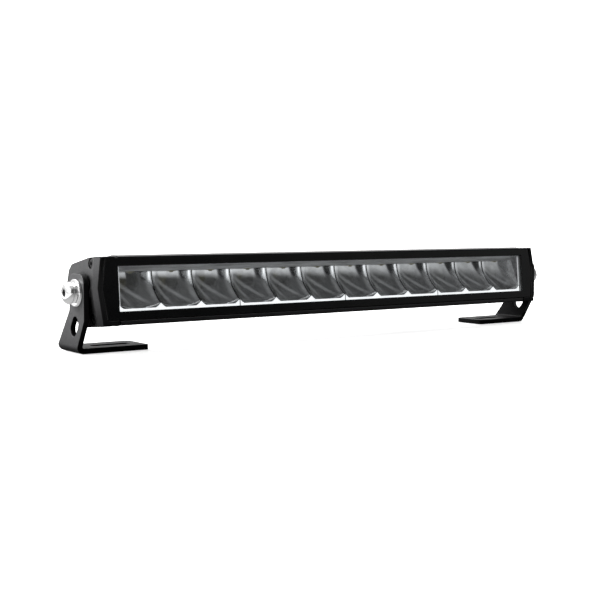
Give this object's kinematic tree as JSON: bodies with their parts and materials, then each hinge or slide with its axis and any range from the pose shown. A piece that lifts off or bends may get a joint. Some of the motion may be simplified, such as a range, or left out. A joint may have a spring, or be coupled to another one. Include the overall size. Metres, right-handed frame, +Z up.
{
  "type": "led light bar",
  "caption": "Single-row LED light bar with cupped reflectors and a white light-guide strip, tilting on two bent steel feet with slotted legs.",
  "frame": {"origin": "on the mounting plane under the feet, midway between them, on the centre line of the two foot slots", "axes": "+X along the bar towards its right end seen from the front, -Y the way the light shines, +Z up from the mounting plane"},
  "size_m": [0.534, 0.0818, 0.0794],
  "materials": {
    "foot_steel": "fine-textured black powder coat",
    "housing_alloy": "satin black anodised extrusion",
    "end_cap": "matt black cast, fine texture",
    "bezel": "smooth black",
    "lens": "clear hard-coated polycarbonate",
    "reflector": "dark vacuum-metallised",
    "light_guide": "milky white diffuser",
    "inner_trim": "satin grey",
    "white_board": "white solder mask on aluminium board",
    "circuit_board": "green solder mask",
    "led": "phosphor face",
    "rubber": "matt",
    "nylon": "moulded black nylon",
    "stainless": "polished stainless",
    "black_screw": "black zinc",
    "vent": "dark grey",
    "cable": "satin black sheath"
  },
  "bodies": {
    "foot_left": {"bracket_left": "foot_steel"},
    "lamp": {"housing": "housing_alloy", "front_bezel": "bezel", "lens": "lens", "lens_gasket": "rubber", "end_cap_left": "end_cap", "end_cap_right": "end_cap", "end_gasket_left": "rubber", "end_gasket_right": "rubber", "reflector_1": "reflector", "light_guide_1": "light_guide", "reflector_2": "reflector", "light_guide_2": "light_guide", "reflector_3": "reflector", "light_guide_3": "light_guide", "reflector_4": "reflector", "light_guide_4": "light_guide", "inner_trim": "inner_trim", "led_board": "white_board", "led_01": "led", "led_02": "led", "led_03": "led", "led_04": "led", "led_05": "led", "led_06": "led", "led_07": "led", "led_08": "led", "led_09": "led", "led_10": "led", "led_11": "led", "led_12": "led", "guide_board": "circuit_board", "driver_board": "circuit_board", "cap_screw_top_left": "black_screw", "cap_screw_top_right": "black_screw", "cap_screw_bottom_left": "black_screw", "cap_screw_bottom_right": "black_screw", "cap_screw_rear_left": "black_screw", "cap_screw_rear_right": "black_screw", "pivot_bolt_left": "stainless", "pivot_bolt_right": "stainless", "spring_washer_left": "stainless", "spring_washer_right": "stainless", "flat_washer_left": "stainless", "flat_washer_right": "stainless", "pivot_bush_left": "nylon", "pivot_bush_right": "nylon", "breather_vent": "vent", "cable_gland": "nylon", "power_cable": "cable", "plug": "nylon"},
    "foot_right": {"bracket_right": "foot_steel"}
  },
  "joints": [
    {"name": "tilt_left", "type": "hinge", "parent": "foot_left", "child": "lamp", "pos_m": [-0.2561, -0.0175, 0.0498], "axis": [-1, 0, 0], "range_deg": [-50, 40]},
    {"name": "tilt_right", "type": "hinge", "parent": "lamp", "child": "foot_right", "pos_m": [0.2561, -0.0175, 0.0498], "axis": [1, 0, 0], "range_deg": [-50, 40]}
  ],
  "couplings": [
    {"joint": "tilt_right", "follows": "tilt_left", "ratio": 1}
  ]
}
